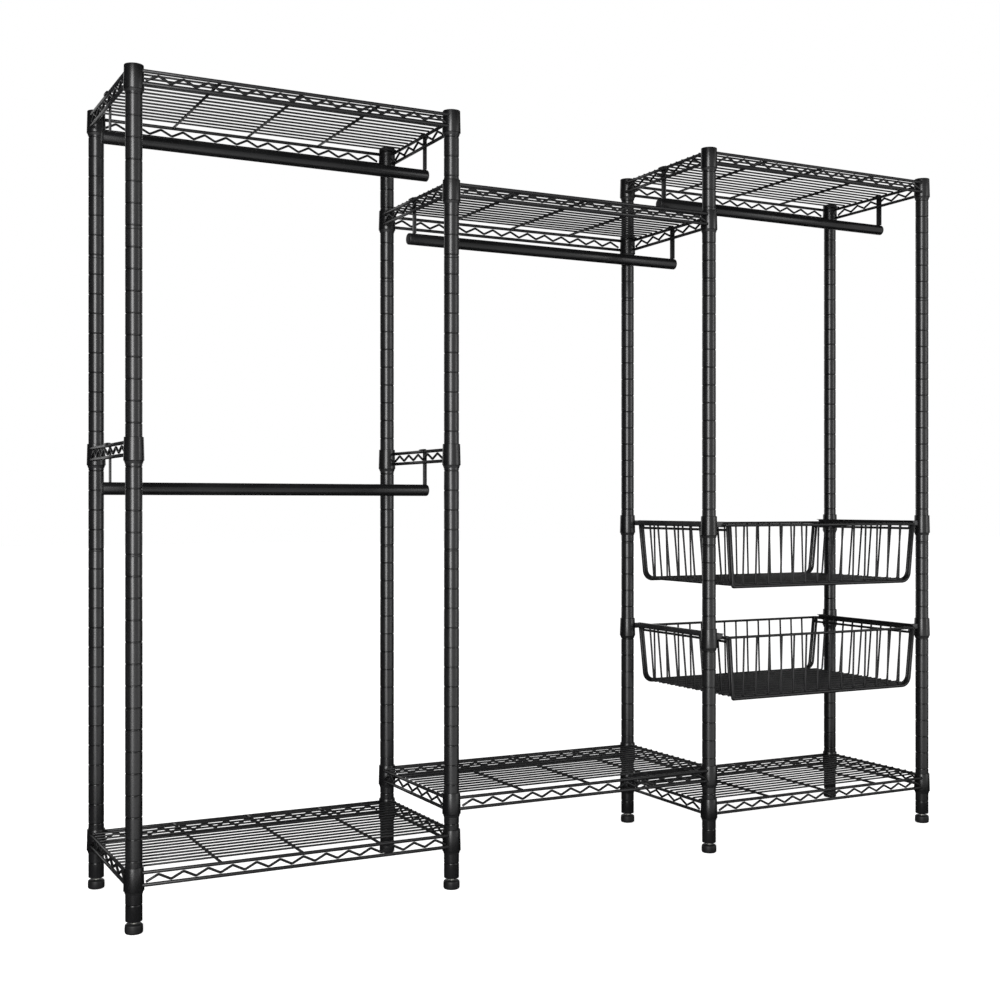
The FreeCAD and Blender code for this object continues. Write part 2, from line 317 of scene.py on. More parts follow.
def path_normal(path):
    """The normal of the plane that a path lies in, or one across a straight path."""
    for i in range(1, len(path) - 1):
        turn = (path[i] - path[i - 1]).cross(path[i + 1] - path[i])
        if turn.length > 1e-3:
            return turn.normalized()
    run = (path[-1] - path[0]).normalized()
    return run.cross(Vector((0, 0, 1)) if abs(run.z) < 0.8 else Vector((1, 0, 0))).normalized()


def wire(shape, path, radius, sides, closed=False):
    """A round wire along a path that lies in one plane, its cut ends slightly rounded."""
    path = [Vector(p) for p in path]
    n = len(path)
    normal = path_normal(path)
    frames = []
    for i in range(n):
        before = path[i] - path[i - 1] if (i or closed) else path[1] - path[0]
        after = path[(i + 1) % n] - path[i] if (i + 1 < n or closed) else path[-1] - path[-2]
        before, after = before.normalized(), after.normalized()
        tangent = (before + after).normalized()
        side = normal.cross(tangent).normalized()
        stretch = 1 / max(MITRE_LIMIT, tangent.dot(before))
        frames.append((path[i], tangent, side, stretch))

    def ring(centre, side, stretch, r):
        made = []
        for k in range(sides):
            a = 2 * math.pi * k / sides
            made.append(centre + side * (r * stretch * math.cos(a)) + normal * (r * math.sin(a)))
        return made

    rings = [ring(centre, side, stretch, radius) for centre, _, side, stretch in frames]
    if not closed:
        edge = radius * WIRE_END_SHARE
        start, start_tangent, start_side, _ = frames[0]
        end, end_tangent, end_side, _ = frames[-1]
        rings[0] = ring(start + start_tangent * edge, start_side, 1, radius)
        rings[-1] = ring(end - end_tangent * edge, end_side, 1, radius)
        rings.insert(0, ring(start, start_side, 1, radius - edge))
        rings.append(ring(end, end_side, 1, radius - edge))
    shape.grid(rings, along=closed, capped=not closed)


def turned(shape, centre, profile, sides, axis="z", closed=False, start=0.0, sweep=360.0):
    """A turning about an axis through centre. profile holds (radius, height) pairs and may be closed."""
    centre = Vector(centre)
    whole = sweep >= 360.0
    count = sides if whole else max(3, int(sides * sweep / 360)) + 1

    def place(r, h, a):
        x, y = r * math.cos(a), r * math.sin(a)
        return centre + (Vector((x, y, h)) if axis == "z" else Vector((h, x, y)))

    rings = []
    for r, h in profile:
        ring = []
        for k in range(count):
            a = math.radians(start + sweep * (k / sides if whole else k / (count - 1)))
            ring.append(place(r, h, a))
        rings.append(ring)
    first = len(shape.points)
    shape.grid(rings, around=whole, along=closed, capped=whole and not closed)
    if not whole and closed:
        shape.faces.append([first + i * count for i in range(len(profile))])
        shape.faces.append([first + i * count + count - 1 for i in reversed(range(len(profile)))])


def soften(profile, radius, steps, closed=False):
    """A flat profile with its corners rounded."""
    path = [Vector((r, h, 0)) for r, h in profile]
    return [(p.x, p.y) for p in rounded(path, radius, steps, closed)]


def extruded(shape, outline, start, end, side, up):
    """A flat outline carried from start to end."""
    start, end, side, up = Vector(start), Vector(end), Vector(side), Vector(up)
    rings = [[c + side * a + up * b for a, b in outline] for c in (start, end)]
    shape.grid(rings, capped=True)


def thread(low, high, crest, root, pitch):
    """The side of a thread drawn as rings, from low up to high."""
    out = []
    z = low
    while z < high:
        out += [(crest, z), (root, z + pitch / 2)]
        z += pitch
    return out


def make(name, shape, material, body, nodes, angle=35.0):
    """The Blender piece of a shape, riding on a CAD body in place of CAD nodes."""
    mesh = bpy.data.meshes.new(name)
    mesh.from_pydata([p / PER_METRE for p in shape.points], [], shape.faces)
    mesh.validate()
    piece = bpy.data.objects.new(name, mesh)
    bpy.context.scene.collection.objects.link(piece)
    bpy.context.view_layer.objects.active = piece
    for o in bpy.context.selected_objects:
        o.select_set(False)
    piece.select_set(True)
    bpy.ops.object.mode_set(mode="EDIT")
    bpy.ops.mesh.select_all(action="SELECT")
    bpy.ops.mesh.normals_make_consistent(inside=False)
    bpy.ops.object.mode_set(mode="OBJECT")
    mesh.shade_smooth()
    mesh.set_sharp_from_angle(angle=math.radians(angle))
    mesh.materials.append(material)
    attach(piece, body)
    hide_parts(*nodes)


# Materials


def new_material(name):
    material = bpy.data.materials.new(name)
    material.use_nodes = True
    nodes = material.node_tree.nodes
    links = material.node_tree.links
    shader = nodes["Principled BSDF"]
    return material, nodes, links, shader


def noise(nodes, links, source, scale, detail, rough=0.55, stretch=None):
    node = nodes.new("ShaderNodeTexNoise")
    node.inputs["Scale"].default_value = scale
    node.inputs["Detail"].default_value = detail
    node.inputs["Roughness"].default_value = rough
    if stretch:
        mapping = nodes.new("ShaderNodeMapping")
        mapping.inputs["Scale"].default_value = stretch
        links.new(source, mapping.inputs["Vector"])
        source = mapping.outputs["Vector"]
    links.new(source, node.inputs["Vector"])
    return node.outputs["Fac"]


def spread(nodes, links, value, low, high, from_low=0.3, from_high=0.7):
    """A value between from_low and from_high carried over to low and high."""
    node = nodes.new("ShaderNodeMapRange")
    node.inputs["From Min"].default_value = from_low
    node.inputs["From Max"].default_value = from_high
    node.inputs["To Min"].default_value = low
    node.inputs["To Max"].default_value = high
    links.new(value, node.inputs["Value"])
    return node.outputs["Result"]


def mixed(nodes, links, factor, first, second):
    """The mix of two colours, each a tuple or a socket."""
    node = nodes.new("ShaderNodeMix")
    node.data_type = "RGBA"
    links.new(factor, node.inputs[0])
    for socket, colour in ((node.inputs[6], first), (node.inputs[7], second)):
        if isinstance(colour, tuple):
            socket.default_value = (*colour, 1.0)
        else:
            links.new(colour, socket)
    return node.outputs[2]


def bumped(nodes, links, shader, layers):
    """Bump layers as (height socket, strength, distance) one over the other."""
    before = None
    for height, strength, distance in layers:
        node = nodes.new("ShaderNodeBump")
        node.inputs["Strength"].default_value = strength
        node.inputs["Distance"].default_value = distance
        links.new(height, node.inputs["Height"])
        if before is not None:
            links.new(before, node.inputs["Normal"])
        before = node.outputs["Normal"]
    links.new(before, shader.inputs["Normal"])


DUST = (0.12, 0.12, 0.115)
RUBBED_COAT = (0.045, 0.045, 0.047)
COAT_DARK = (0.0025, 0.0025, 0.0027)
COAT_LIGHT = (0.005, 0.005, 0.0053)
# Painted shade: the rods' colours are the tubes' black coat made darker, so that the level rods look
# darker.
ROD_PAINTED_SHADE_DARK = (0.0015, 0.0015, 0.0017)
ROD_PAINTED_SHADE_LIGHT = (0.003, 0.003, 0.0032)
PLASTIC_DARK = (0.005, 0.005, 0.0053)
PLASTIC_LIGHT = (0.009, 0.009, 0.0095)
SCUFFED_PLASTIC = (0.02, 0.02, 0.021)
ZINC_DARK = (0.42, 0.42, 0.4)
ZINC_LIGHT = (0.6, 0.59, 0.56)


def coated(name, dark, light, rough_low, rough_high, specular, peel, peel_depth):
    """Black powder coat: a fine orange peel, uneven sheen, faint dust on top and lighter rubbed edges."""
    material, nodes, links, shader = new_material(name)
    place = nodes.new("ShaderNodeTexCoord").outputs["Object"]
    broad = noise(nodes, links, place, scale=9.0, detail=4.0)
    fine = noise(nodes, links, place, scale=peel, detail=2.0, rough=0.5)
    speck = noise(nodes, links, place, scale=1900.0, detail=1.0, rough=0.5)
    tone = mixed(nodes, links, spread(nodes, links, broad, low=0.0, high=1.0), dark, light)
    up = nodes.new("ShaderNodeSeparateXYZ")
    links.new(nodes.new("ShaderNodeNewGeometry").outputs["Normal"], up.inputs[0])
    dusting = nodes.new("ShaderNodeMath")
    dusting.operation = "MULTIPLY"
    upward = spread(nodes, links, up.outputs["Z"], low=0.0, high=0.05, from_low=0.35, from_high=1.0)
    links.new(upward, dusting.inputs[0])
    links.new(spread(nodes, links, broad, low=0.35, high=1.0), dusting.inputs[1])
    tone = mixed(nodes, links, dusting.outputs[0], tone, DUST)
    edge = nodes.new("ShaderNodeNewGeometry").outputs["Pointiness"]
    rub = spread(nodes, links, edge, low=0.0, high=0.25, from_low=0.52, from_high=0.62)
    tone = mixed(nodes, links, rub, tone, RUBBED_COAT)
    links.new(tone, shader.inputs["Base Color"])
    links.new(spread(nodes, links, broad, rough_low, rough_high), shader.inputs["Roughness"])
    shader.inputs["Specular IOR Level"].default_value = specular
    bumped(nodes, links, shader, [(fine, 0.35, peel_depth), (speck, 0.12, 0.00005)])
    return material


def plastic(name):
    """Moulded black plastic with a light grain and pale scuffs."""
    material, nodes, links, shader = new_material(name)
    place = nodes.new("ShaderNodeTexCoord").outputs["Object"]
    grain = noise(nodes, links, place, scale=1400.0, detail=2.0, rough=0.6)
    broad = noise(nodes, links, place, scale=22.0, detail=3.0)
    tone = mixed(nodes, links, spread(nodes, links, broad, low=0.0, high=1.0), PLASTIC_DARK, PLASTIC_LIGHT)
    blotch = noise(nodes, links, place, scale=130.0, detail=5.0, rough=0.7)
    scuff = spread(nodes, links, blotch, low=0.0, high=0.35, from_low=0.6, from_high=0.8)
    links.new(mixed(nodes, links, scuff, tone, SCUFFED_PLASTIC), shader.inputs["Base Color"])
    links.new(spread(nodes, links, broad, low=0.42, high=0.55), shader.inputs["Roughness"])
    shader.inputs["Specular IOR Level"].default_value = 0.2
    bumped(nodes, links, shader, [(grain, 0.3, 0.0001)])
    return material


def zinc(name):
    """Zinc-plated steel: a mottled, slightly warm plating with fine turning marks."""
    material, nodes, links, shader = new_material(name)
    place = nodes.new("ShaderNodeTexCoord").outputs["Object"]
    broad = noise(nodes, links, place, scale=160.0, detail=4.0, rough=0.6)
    marks = noise(nodes, links, place, scale=40.0, detail=3.0, rough=0.6, stretch=(2.0, 2.0, 60.0))
    tone = mixed(nodes, links, spread(nodes, links, broad, low=0.0, high=1.0), ZINC_DARK, ZINC_LIGHT)
    links.new(tone, shader.inputs["Base Color"])
    shader.inputs["Metallic"].default_value = 1.0
    links.new(spread(nodes, links, broad, low=0.28, high=0.48), shader.inputs["Roughness"])
    bumped(nodes, links, shader, [(marks, 0.25, 0.00008)])
    return material


TUBE_COAT = coated("coated_tube", COAT_DARK, COAT_LIGHT, rough_low=0.25, rough_high=0.3,
                   specular=0.32, peel=650.0, peel_depth=0.00006)
# The tube coat with darker colours for the hanging rods: painted shade, not a different finish.
ROD_COAT_PAINTED_SHADE = coated("coated_rod_painted_shade", ROD_PAINTED_SHADE_DARK, ROD_PAINTED_SHADE_LIGHT, rough_low=0.25, rough_high=0.3,
                  specular=0.22, peel=650.0, peel_depth=0.00006)
WIRE_COAT = coated("coated_wire", COAT_DARK, COAT_LIGHT, rough_low=0.27, rough_high=0.34,
                   specular=0.17, peel=900.0, peel_depth=0.0001)
STRIP_COAT = coated("coated_strip", COAT_DARK, COAT_LIGHT, rough_low=0.28, rough_high=0.35,
                    specular=0.28, peel=800.0, peel_depth=0.0001)
PLASTIC = plastic("black_plastic")
ZINC = zinc("zinc_steel")


# Posts, with their ring grooves and seams


def tube_edge(z, way):
    """The rounded outer edge of a post section, from its end face at z inward along way."""
    return [(POST_R - POST_EDGE_IN, z), (POST_R - POST_EDGE_TURN, z + way * POST_EDGE_TURN),
            (POST_R, z + way * POST_EDGE_HEIGHT)]


def grooved(low, high):
    """The outside of a post section from low to high, with ring grooves and a seam at UPPER_SEAM."""
    marks = [(UPPER_SEAM, SEAM_DEPTH, SEAM_HALF)]
    z = GROOVE_FIRST
    while z < POST_TOP - GROOVE_MARGIN:
        marks.append((z, GROOVE_DEPTH, GROOVE_HALF))
        z += GROOVE_PITCH
    profile = tube_edge(low, 1)
    for z, depth, half in sorted(marks):
        if low + GROOVE_MARGIN < z < high - GROOVE_MARGIN:
            side_r = POST_R - depth * GROOVE_SIDE_DEPTH_SHARE
            side = half * GROOVE_SIDE_WIDTH_SHARE
            profile += [(POST_R, z - half), (side_r, z - side), (POST_R - depth, z), (side_r, z + side),
                        (POST_R, z + half)]
    return profile + tube_edge(high, -1)[::-1]


def build_posts():
    for row, y in ROW_Y.items():
        for index, x in enumerate(POST_X):
            tag = f"{row}_{index + 1}"
            for part, low, high in (("lower", POST_LOW, POST_JOINT), ("upper", POST_JOINT, POST_TOP)):
                shape = Shape()
                profile = grooved(low, high) + [(POST_BORE, high), (POST_BORE, low)]
                turned(shape, (x, y, 0), profile, ROUND_SIDES, closed=True)
                node = f"post_{part}_{tag}"
                make(f"{node}_tube", shape, TUBE_COAT, "rack", [node], angle=20)


def build_post_ends():
    """The screwed plugs in the joints of the posts, their caps and the inserts for the feet."""
    plugs, caps, inserts = Shape(), Shape(), Shape()
    plug_low, plug_high = POST_JOINT - PLUG_HALF, POST_JOINT + PLUG_HALF
    root = POST_BORE - PLUG_ROOT_DEPTH
    crest = POST_BORE - SCREW_CLEARANCE
    plug = [(root, plug_low)]
    plug += thread(plug_low + PLUG_PITCH, plug_high - PLUG_PITCH, crest, root, PLUG_PITCH)
    plug.append((root, plug_high))
    cap = soften([(AXIS_R, POST_TOP), (CAP_R, POST_TOP), (CAP_R, HEIGHT), (AXIS_R, HEIGHT)],
                 [0, CAP_EDGE, CAP_ROUND, 0], steps=4)
    insert_bore = STUD_CREST_R + SCREW_CLEARANCE
    insert_top = POST_LOW + INSERT_HEIGHT
    insert = [(insert_bore, POST_LOW), (crest, POST_LOW), (crest, insert_top), (insert_bore, insert_top)]
    for y in ROW_Y.values():
        for x in POST_X:
            turned(plugs, (x, y, 0), plug, PLUG_SIDES)
            turned(caps, (x, y, 0), cap, ROUND_SIDES)
            turned(inserts, (x, y, 0), insert, INSERT_SIDES, closed=True)
    make("post_joint_plug_screws", plugs, ZINC, "rack", ["post_joint_plugs"])
    make("post_cap_discs", caps, PLASTIC, "rack", ["post_caps"], angle=40)
    make("foot_insert_nuts", inserts, ZINC, "rack", ["foot_inserts"])


def build_feet():
    outline = [(AXIS_R, 0.0), (PAD_FOOT_R, 0.0), (PAD_BELLY_R, PAD_HEIGHT / 2), (PAD_TOP_R, PAD_HEIGHT),
               (SEAT_R + SEAT_FLARE, PAD_HEIGHT), (SEAT_R, SEAT_FLOOR), (AXIS_R, SEAT_FLOOR)]
    rounds = [0, PAD_FOOT_ROUND, PAD_BELLY_ROUND, PAD_TOP_ROUND, SEAT_EDGE, SEAT_EDGE, 0]
    barrel = soften(outline, rounds, steps=6)
    screw = [(AXIS_R, SEAT_FLOOR), (FLANGE_R, SEAT_FLOOR), (FLANGE_R, FLANGE_TOP - FLANGE_EDGE),
             (FLANGE_R - FLANGE_EDGE, FLANGE_TOP), (SHANK_R, FLANGE_TOP), (SHANK_R, SHANK_TOP)]
    screw += thread(STUD_FIRST, STUD_LAST, STUD_CREST_R, STUD_ROOT_R, STUD_PITCH)
    screw += [(STUD_TIP_R + STUD_TIP_EDGE, STUD_TOP - STUD_TIP_EDGE), (STUD_TIP_R, STUD_TOP),
              (AXIS_R, STUD_TOP)]
    for row, y in ROW_Y.items():
        for index, x in enumerate(POST_X):
            tag = f"{row}_{index + 1}"
            body = f"foot_{tag}"
            pad, stud = Shape(), Shape()
            turned(pad, (x, y, 0), barrel, ROUND_SIDES)
            make(f"foot_pad_{tag}_barrel", pad, PLASTIC, body, [f"foot_pad_{tag}"],
                 angle=40)
            turned(stud, (x, y, 0), screw, STUD_SIDES)
            make(f"foot_stud_{tag}_thread", stud, ZINC, body, [f"foot_stud_{tag}"], angle=30)


# Collars with their sleeves, and the trussed wire shelves


def collar(steel, sleeve, x, y, top):
    """A steel collar whose upper edge is at top, over the two halves of its sleeve."""
    low = top - COLLAR_HEIGHT
    lip = low - COLLAR_LIP
    profile = [(SLEEVE_TOP_R + COLLAR_CLEARANCE, top), (COLLAR_TOP_R, top), (COLLAR_LOW_R, low),
               (COLLAR_LOW_R - COLLAR_WALL, lip), (SLEEVE_LOW_R + COLLAR_CLEARANCE, lip)]
    profile = soften(profile, COLLAR_ROUNDS, steps=4, closed=True)
    turned(steel, (x, y, 0), profile, ROUND_SIDES, closed=True)
    foot = low - SLEEVE_DROP
    shell = [(SLEEVE_BORE, top - SLEEVE_INSET), (SLEEVE_TOP_R, top - SLEEVE_INSET),
             (SLEEVE_LOW_R, low - SLEEVE_NECK), (SLEEVE_LIP_R, low - SLEEVE_LIP_TOP),
             (SLEEVE_LIP_R - SLEEVE_LIP_TAPER, low - SLEEVE_LIP_LOW),
             (SLEEVE_FOOT_R, foot), (SLEEVE_BORE, foot)]
    for half in (0, 180):
        turned(sleeve, (x, y, 0), shell, SLEEVE_SIDES, closed=True, start=half + SLEEVE_SLOT_ANGLE / 2,
               sweep=180 - SLEEVE_SLOT_ANGLE)


def truss(shape, start, end):
    """Two rails and the zigzag lacing between them, to the right of the line between two posts."""
    start, end = Vector(start), Vector(end)
    along = (end - start).normalized()
    outward = along.cross(Vector((0, 0, 1))) * OFFSET
    start, end = start + outward, end + outward
    down = Vector((0, 0, -RAIL_GAP))
    reach = math.sqrt(COLLAR_TOP_R ** 2 - OFFSET ** 2) - RAIL_SINK
    for drop in (Vector((0, 0, 0)), down):
        wire(shape, [start + along * reach + drop, end - along * reach + drop], RAIL_R, RAIL_SIDES)
    first, last = start + along * COLLAR_LOW_R, end - along * COLLAR_LOW_R
    run = last - first
    count = round(run.length / LACING_PITCH) * 2
    high = WELD_SINK - RAIL_R - LACING_R
    low = RAIL_R + LACING_R - RAIL_GAP - WELD_SINK
    path = [first + run * (k / count) + Vector((0, 0, high if k % 2 else low)) for k in range(count + 1)]
    wire(shape, rounded(path, LACING_BEND, steps=4), LACING_R, LACING_SIDES)


def build_shelf(name, bay, rail):
    left, right = POST_X[bay], POST_X[bay + 1]
    front, back = ROW_Y["front"], ROW_Y["back"]
    corners = [(left, front), (right, front), (right, back), (left, back)]
    steel, sleeve, wires, deck = Shape(), Shape(), Shape(), Shape()
    for x, y in corners:
        collar(steel, sleeve, x, y, rail + COLLAR_RISE)
    for k in range(4):
        a, b = corners[k], corners[(k + 1) % 4]
        truss(wires, (*a, rail), (*b, rail))
    top = rail + RAIL_R
    reach = back + OFFSET - RAIL_R + CROSS_SINK
    for k in range(CROSS_COUNT):
        x = left + BAY * (k + 1) / (CROSS_COUNT + 1)
        wire(deck, [(x, -reach, top - CROSS_R), (x, reach, top - CROSS_R)], CROSS_R, DECK_SIDES)
    pitch = DEPTH / (DECK_COUNT + 1)
    height = top + DECK_RISE
    for k in range(DECK_COUNT):
        y = front + pitch * (k + 1)
        wire(deck, [(left - OFFSET, y, height), (right + OFFSET, y, height)], DECK_R, DECK_SIDES)
    make(f"{name}_collars", steel, TUBE_COAT, "rack", [name])
    make(f"{name}_sleeves", sleeve, PLASTIC, "rack", [name])
    make(f"{name}_trusses", wires, WIRE_COAT, "rack", [name], angle=60)
    make(f"{name}_deck", deck, WIRE_COAT, "rack", [name], angle=60)


def build_ledge(name, post, way):
    """A trussed side between two posts, offset toward -X where way is -1 and toward +X where it is 1."""
    x = POST_X[post]
    steel, sleeve, wires = Shape(), Shape(), Shape()
    for y in ROW_Y.values():
        collar(steel, sleeve, x, y, LEDGE + COLLAR_RISE)
    truss(wires, (x, -way * DEPTH / 2, LEDGE), (x, way * DEPTH / 2, LEDGE))
    make(f"{name}_collars", steel, TUBE_COAT, "rack", [name])
    make(f"{name}_sleeves", sleeve, PLASTIC, "rack", [name])
    make(f"{name}_truss", wires, WIRE_COAT, "rack", [name], angle=60)


# Hanging rods, their hooked straps and end caps


def rod_tube(left, right, z):
    shape = Shape()
    bore = ROD_R - ROD_WALL
    low, high = left + ROD_CAP, right - ROD_CAP
    profile = [(ROD_R, low), (ROD_R, high), (bore, high), (bore, low)]
    profile = soften(profile, ROD_EDGE, steps=2, closed=True)
    turned(shape, (0, 0, z), profile, ROUND_SIDES, axis="x", closed=True)
    return shape


def rod_cap(caps, end, way, z):
    """A domed cap whose crown is at end and whose plug goes into the rod."""
    plug = ROD_R - ROD_WALL - ROD_CAP_CLEARANCE
    dome = [(plug, -ROD_CAP_PLUG), (plug, -ROD_CAP_NECK), (ROD_R, 0), (ROD_R, ROD_CAP_SIDE),
            (ROD_R - ROD_CAP_EDGE_IN, ROD_CAP_EDGE), (ROD_R - ROD_CAP_CROWN_IN, ROD_CAP_CROWN),
            (AXIS_R, ROD_CAP)]
    dome = soften(dome, ROD_CAP_ROUNDS, steps=4)
    turned(caps, (end - way * ROD_CAP, 0, z), [(r, way * h) for r, h in dome], ROD_CAP_SIDES, axis="x")


def strap(straps, rail_x, rail, rod):
    """A flat strip welded on a rod and hooked over a rail, its edges slightly rounded."""
    reach = RAIL_R + STRAP_CLEARANCE + STRAP_THICK / 2
    peak = rail + RAIL_R + STRAP_THICK / 2
    leg, lip = rail_x + reach, rail_x - reach
    path = [(leg, 0, rod + ROD_R - STRAP_SINK), (leg, 0, peak), (lip, 0, peak), (lip, 0, peak - STRAP_LIP)]
    path = rounded(path, [0, STRAP_BEND, STRAP_BEND, 0], steps=5)
    thick, wide = STRAP_THICK / 2, STRAP_WIDE / 2
    section = [(-thick, -wide), (thick, -wide), (thick, wide), (-thick, wide)]
    section = soften(section, STRAP_EDGE, steps=3, closed=True)
    n = len(path)
    rings = []
    for i in range(n):
        before = (path[i] - path[i - 1]) if i else path[1] - path[0]
        after = (path[i + 1] - path[i]) if i + 1 < n else before
        before, after = before.normalized(), after.normalized()
        tangent = (before + after).normalized()
        across = Vector((-tangent.z, 0, tangent.x)) / max(MITRE_LIMIT, tangent.dot(before))
        rings.append([path[i] + across * a + Vector((0, b, 0)) for a, b in section])
    straps.grid(rings, capped=True)


def build_rods():
    straps, caps = Shape(), Shape()
    rods = {"left_upper": (0, OUTER_TOP), "left_lower": (0, LEDGE), "middle": (1, MIDDLE_TOP),
            "right": (2, OUTER_TOP)}
    for name, (bay, rail) in rods.items():
        z = rail - ROD_DROP
        sides = ((POST_X[bay], -1), (POST_X[bay + 1], 1))
        left, right = [x + way * ROD_OVERHANG for x, way in sides]
        node = f"hanging_rod_{name}"
        # The rod tube wears the darker rod coat, which is painted shade.
        make(f"{node}_tube", rod_tube(left, right, z), ROD_COAT_PAINTED_SHADE, "rack", [node])
        for x, way in sides:
            rod_cap(caps, x + way * ROD_OVERHANG, way, z)
            strap(straps, x + way * OFFSET, rail, z)
    make("hanging_rod_strap_strips", straps, STRIP_COAT, "rack", ["hanging_rod_straps"],
         angle=40)
    make("hanging_rod_end_caps", caps, PLASTIC, "rack", ["hanging_rod_caps"], angle=40)


# Baskets and their runners


def build_runner(level, hand_name):
    rim = RIM_HEIGHTS[level]
    post, hand = (2, 1) if hand_name == "inner" else (3, -1)
    x = POST_X[post]
    web = x + hand * RUNNER_WEB
    low = rim - RIM_R - RUNNER_REST - RUNNER_WALL
    high = low + RUNNER_HEIGHT
    wall, width = RUNNER_WALL, RUNNER_WIDTH
    steel, sleeve, channel = Shape(), Shape(), Shape()
    outer = [(0, low), (width, low), (width, low + wall), (wall, low + wall), (wall, high - wall),
             (width, high - wall), (width, high), (0, high)]
    half_rounds = [RUNNER_BACK_ROUND, RUNNER_LIP_ROUND, RUNNER_LIP_ROUND, RUNNER_INNER_ROUND]
    outer = soften(outer, half_rounds + half_rounds[::-1], steps=3, closed=True)
    reach = DEPTH / 2 + RUNNER_OVERHANG
    extruded(channel, outer, (web, -reach, 0), (web, reach, 0), (hand, 0, 0), (0, 0, 1))
    arm_low, arm_high = low + ARM_INSET, high - ARM_INSET
    arm = [(-ARM_HALF, arm_low), (ARM_HALF, arm_low), (ARM_HALF, arm_high), (-ARM_HALF, arm_high)]
    arm = soften(arm, ARM_ROUND, steps=3, closed=True)
    near, far = sorted((x + hand * ARM_START, web + hand * ARM_SINK))
    for y in ROW_Y.values():
        extruded(channel, arm, (near, y, 0), (far, y, 0), (0, 1, 0), (0, 0, 1))
        collar(steel, sleeve, x, y, rim + RUNNER_COLLAR_RISE)
    name = f"runner_{level}_{hand_name}"
    make(f"{name}_collars", steel, TUBE_COAT, "rack", [name])
    make(f"{name}_sleeves", sleeve, PLASTIC, "rack", [name])
    make(f"{name}_channel", channel, STRIP_COAT, "rack", [name], angle=30)


def basket_frames(rims, rim):
    """A U of thick wire under each end of the rim, with a thinner one beside it.

    The front left corners are squarer than the others, as in the photo.
    """
    floor = rim - BASKET_DEPTH
    thick = (FRAME_R, rim - RIM_R + FRAME_SINK, floor - FRAME_DROP)
    thin = (SECOND_FRAME_R, rim, floor + CROSSING_RISE)
    for y, (radius, high, low), left_lean, left_bend in (
            (BASKET_FRONT - FRAME_OUT, thick, FRONT_LEFT_LEAN, FRONT_LEFT_BEND),
            (BASKET_BACK + FRAME_OUT, thick, FRAME_LEAN, FRAME_BEND),
            (SECOND_FRAME_FRONT, thin, FRONT_LEFT_LEAN, SECOND_FRAME_LEFT_BEND),
            (SECOND_FRAME_BACK, thin, FRAME_LEAN, FRAME_BEND)):
        left = BASKET_X - BASKET_HALF + RIM_R + radius
        right = BASKET_X + BASKET_HALF - RIM_R - radius
        path = [(left, y, high), (left + left_lean, y, low), (right - FRAME_LEAN, y, low), (right, y, high)]
        wire(rims, rounded(path, [0, left_bend, FRAME_BEND, 0], steps=8), radius, RIM_SIDES)


def basket_wires(wires, rim):
    """The wires bent down from front to back and from side to side, and more wires across the floor."""
    floor = rim - BASKET_DEPTH
    under = rim - RIM_R + FRAME_SINK
    for k in range(1, LONG_WIRE_GAPS):
        x = BASKET_X - LONG_WIRE_SPAN / 2 + LONG_WIRE_SPAN * k / LONG_WIRE_GAPS
        path = [(x, BASKET_FRONT, under), (x, BASKET_FRONT + END_TAPER, floor),
                (x, BASKET_BACK - END_TAPER, floor), (x, BASKET_BACK, under)]
        wire(wires, rounded(path, WIRE_BEND, steps=4), WIRE_R, WIRE_SIDES)
    side = BASKET_HALF - RIM_R - WIRE_R
    low_side = side - SIDE_TAPER
    reach = low_side - FLOOR_WIRE_INSET
    crossing = floor + CROSSING_RISE
    steps = round((SECOND_FRAME_BACK - SECOND_FRAME_FRONT) / SIDE_PITCH)
    pitch = (SECOND_FRAME_BACK - SECOND_FRAME_FRONT) / steps
    for k in range(steps):
        y = SECOND_FRAME_FRONT + pitch * k
        if k:
            path = [(BASKET_X - side, y, rim), (BASKET_X - low_side, y, crossing),
                    (BASKET_X + low_side, y, crossing), (BASKET_X + side, y, rim)]
            wire(wires, rounded(path, WIRE_BEND, steps=5), WIRE_R, WIRE_SIDES)
        between = y + pitch / 2
        across = [(BASKET_X - reach, between, crossing), (BASKET_X + reach, between, crossing)]
        wire(wires, across, WIRE_R, WIRE_SIDES)


def second_wires(rims, rim):
    """A wire below each side of the rim, whose ends turn up to the rim's height and inward."""
    height = rim - SECOND_DROP
    taper = SIDE_TAPER * SECOND_DROP / BASKET_DEPTH
    side = BASKET_HALF - RIM_R - 2 * WIRE_R - taper - SECOND_R
    front, back = BASKET_FRONT + SECOND_INSET, BASKET_BACK - SECOND_INSET
    for x in (BASKET_X - side, BASKET_X + side):
        path = [(x, front + SECOND_TURN, rim), (x, front, rim), (x, front, height), (x, back, height),
                (x, back, rim), (x, back - SECOND_TURN, rim)]
        wire(rims, rounded(path, SECOND_BEND, steps=6), SECOND_R, SECOND_SIDES)


def build_basket(level):
    rim = RIM_HEIGHTS[level]
    rims, wires = Shape(), Shape()
    left, right = BASKET_X - BASKET_HALF, BASKET_X + BASKET_HALF
    loop = [(left, BASKET_FRONT, rim), (right, BASKET_FRONT, rim), (right, BASKET_BACK, rim),
            (left, BASKET_BACK, rim)]
    wire(rims, rounded(loop, RIM_CORNER, steps=5, closed=True), RIM_R, RIM_SIDES, closed=True)
    basket_frames(rims, rim)
    basket_wires(wires, rim)
    second_wires(rims, rim)
    name = f"basket_{level}"
    make(f"{name}_rim", rims, WIRE_COAT, name, [name], angle=60)
    make(f"{name}_wires", wires, WIRE_COAT, name, [name], angle=60)


# Studio in metres: white world and floor, two soft lamps, and black flags that only reflections show

